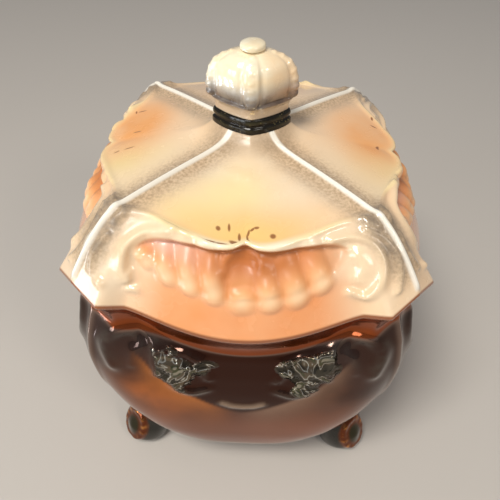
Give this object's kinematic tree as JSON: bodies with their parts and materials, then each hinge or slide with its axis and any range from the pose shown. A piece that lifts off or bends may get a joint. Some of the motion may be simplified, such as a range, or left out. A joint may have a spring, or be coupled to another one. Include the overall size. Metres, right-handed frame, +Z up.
{
  "type": "footed candy box",
  "caption": "Square bombe lustre porcelain box on scroll feet, with a lift-off domed lid, shell panels and a bud knob.",
  "frame": {"origin": "middle of the footprint, on the table under the feet", "axes": "+Z up through the knob; the side that the picture shows faces -Y; X runs across it"},
  "size_m": [0.133, 0.133, 0.1672],
  "materials": {
    "bowl_lustre": "gloss",
    "foot_gilt": "gloss",
    "lid_lustre": "gloss",
    "flange_white": "gloss",
    "plinth_dark": "gloss",
    "knob_pearl": "gloss"
  },
  "bodies": {
    "box": {"box_bowl": "bowl_lustre", "foot_front_right": "foot_gilt", "foot_back_right": "foot_gilt", "foot_back_left": "foot_gilt", "foot_front_left": "foot_gilt"},
    "lid": {"lid_shell": "lid_lustre", "lid_flange": "flange_white", "knob_plinth": "plinth_dark", "knob_bud": "knob_pearl", "knob_button": "knob_pearl"}
  },
  "joints": [
    {"name": "lid_lift", "type": "slide", "parent": "box", "child": "lid", "axis": [0, 0, 1], "range_m": [0, 0.08]}
  ]
}
